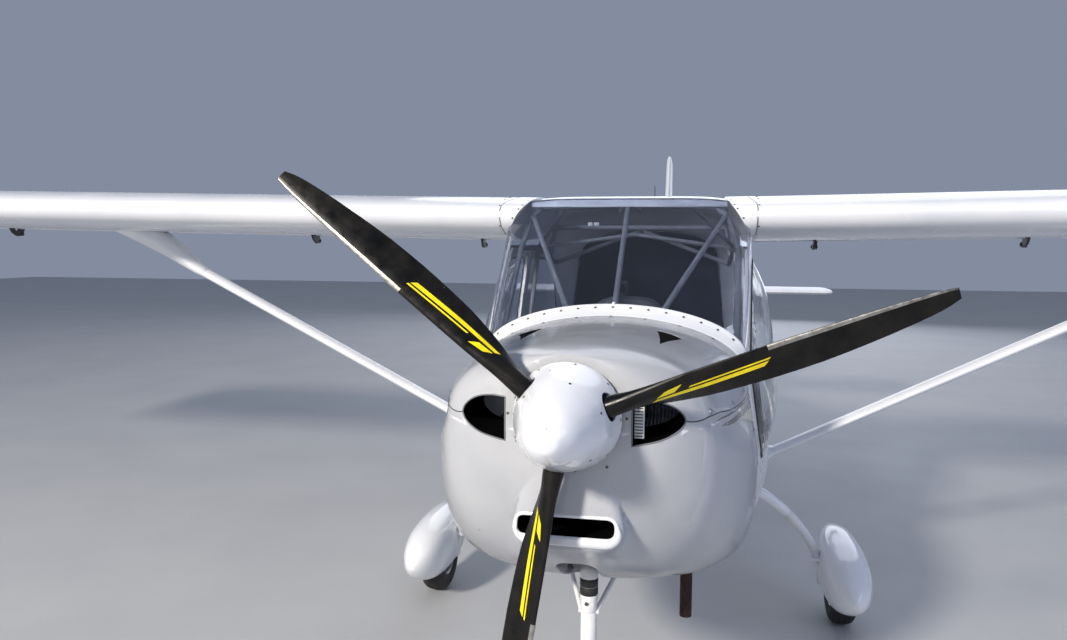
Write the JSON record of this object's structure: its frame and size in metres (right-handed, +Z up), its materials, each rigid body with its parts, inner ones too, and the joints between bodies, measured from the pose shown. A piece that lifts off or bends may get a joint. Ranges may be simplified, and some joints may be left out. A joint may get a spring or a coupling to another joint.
{
  "type": "two-seat high-wing light aircraft",
  "caption": "White strut-braced high-wing two-seater with a tractor propeller, bubble cabin doors, full-span flaperons and faired fixed nose-wheel landing gear.",
  "frame": {"origin": "on the ground under the middle of the aircraft's length and span", "axes": "+X to the aircraft's left along the span, nose towards -Y, +Z up"},
  "size_m": [10.1, 6.23, 2.377],
  "materials": {
    "engine_castings": "dull cast metal",
    "white_composite": "gloss white moulded composite",
    "bare_metal": "bare light alloy",
    "heated_steel": "brown heated steel",
    "white_paint": "gloss white paint",
    "clear_glazing": "clear acrylic",
    "tinted_glazing": "clear acrylic over a dark cabin",
    "white_doped_cloth": "painted cloth over a light frame",
    "pale_leg_paint": "pale grey-white paint",
    "tyre_rubber": "matt black rubber",
    "leg_rubber": "black rubber blocks in a clamp",
    "black_blade": "black carbon composite, gloss",
    "black_panel": "matt black",
    "grey_tube": "grey painted steel tube",
    "seat_cloth": "dark blue-grey cloth"
  },
  "bodies": {
    "airframe": {"engine_block": "engine_castings", "cowl_upper": "white_composite", "cowl_lower": "white_composite", "firewall": "bare_metal", "exhaust_pipe": "heated_steel", "cabin_tub": "white_paint", "rear_window_left": "clear_glazing", "rear_window_right": "clear_glazing", "windscreen": "tinted_glazing", "roof_glass": "tinted_glazing", "roof_fairing": "white_composite", "wing_left": "white_paint", "wing_right": "white_paint", "root_fairing_left": "white_composite", "root_fairing_right": "white_composite", "strut_left": "white_paint", "strut_right": "white_paint", "gear_leg_left": "pale_leg_paint", "gear_leg_right": "pale_leg_paint", "spat_left": "white_composite", "spat_right": "white_composite", "nose_leg": "leg_rubber", "tail_cone": "white_paint", "stabilizer": "white_doped_cloth", "fin": "white_doped_cloth", "ventral_fin": "white_composite", "aerial": "black_panel", "cabin_frame": "grey_tube", "instrument_panel": "black_panel", "seat_left": "seat_cloth", "seat_right": "seat_cloth", "control_column": "black_panel"},
    "propeller": {"spinner": "white_composite", "prop_hub": "bare_metal", "blade_1": "black_blade", "blade_2": "black_blade", "blade_3": "black_blade"},
    "nose_strut": {"nose_fork": "pale_leg_paint", "nose_spat": "white_composite"},
    "nose_wheel": {"nose_tyre": "tyre_rubber", "nose_rim": "bare_metal"},
    "main_wheel_left": {"tyre_left": "tyre_rubber", "rim_left": "bare_metal"},
    "main_wheel_right": {"tyre_right": "tyre_rubber", "rim_right": "bare_metal"},
    "door_left": {"door_frame_left": "pale_leg_paint", "door_pane_left": "clear_glazing"},
    "door_right": {"door_frame_right": "pale_leg_paint", "door_pane_right": "clear_glazing"},
    "aileron_flap_left": {"flaperon_left": "white_doped_cloth"},
    "aileron_flap_right": {"flaperon_right": "white_doped_cloth"},
    "elevator_surface": {"elevator": "white_doped_cloth"},
    "rudder_surface": {"rudder": "white_doped_cloth"}
  },
  "joints": [
    {"name": "propeller_shaft", "type": "hinge", "parent": "airframe", "child": "propeller", "pos_m": [0, -2.9, 1.265], "axis": [0, -1, 0], "continuous": true},
    {"name": "nose_steering", "type": "hinge", "parent": "airframe", "child": "nose_strut", "pos_m": [0, -2.4, 0.5], "axis": [0, 0, 1], "range_deg": [-20, 20]},
    {"name": "nose_wheel_spin", "type": "hinge", "parent": "nose_strut", "child": "nose_wheel", "pos_m": [0, -2.365, 0.1552], "axis": [1, 0, 0], "continuous": true},
    {"name": "main_wheel_left_spin", "type": "hinge", "parent": "airframe", "child": "main_wheel_left", "pos_m": [0.921, -0.87, 0.17], "axis": [1, 0, 0], "continuous": true},
    {"name": "door_left_hinge", "type": "hinge", "parent": "airframe", "child": "door_left", "pos_m": [0.47, -1.172, 1.652], "axis": [0, -1, 0], "range_deg": [0, 75]},
    {"name": "flaperon_left_hinge", "type": "hinge", "parent": "airframe", "child": "aileron_flap_left", "pos_m": [0.52, -0.42, 1.64554], "axis": [0.9998, 0, 0.0175], "range_deg": [-25, 15]},
    {"name": "main_wheel_right_spin", "type": "hinge", "parent": "airframe", "child": "main_wheel_right", "pos_m": [-0.921, -0.87, 0.17], "axis": [1, 0, 0], "continuous": true},
    {"name": "door_right_hinge", "type": "hinge", "parent": "airframe", "child": "door_right", "pos_m": [-0.47, -1.172, 1.652], "axis": [0, 1, 0], "range_deg": [0, 75]},
    {"name": "flaperon_right_hinge", "type": "hinge", "parent": "airframe", "child": "aileron_flap_right", "pos_m": [-0.52, -0.42, 1.64554], "axis": [0.9998, 0, -0.0175], "range_deg": [-25, 15]},
    {"name": "elevator_hinge", "type": "hinge", "parent": "airframe", "child": "elevator_surface", "pos_m": [0, 2.525, 1.302], "axis": [1, 0, 0], "range_deg": [-15, 25]},
    {"name": "rudder_hinge", "type": "hinge", "parent": "airframe", "child": "rudder_surface", "pos_m": [0, 2.652, 1.7], "axis": [0, 0, 1], "range_deg": [-25, 25]}
  ]
}
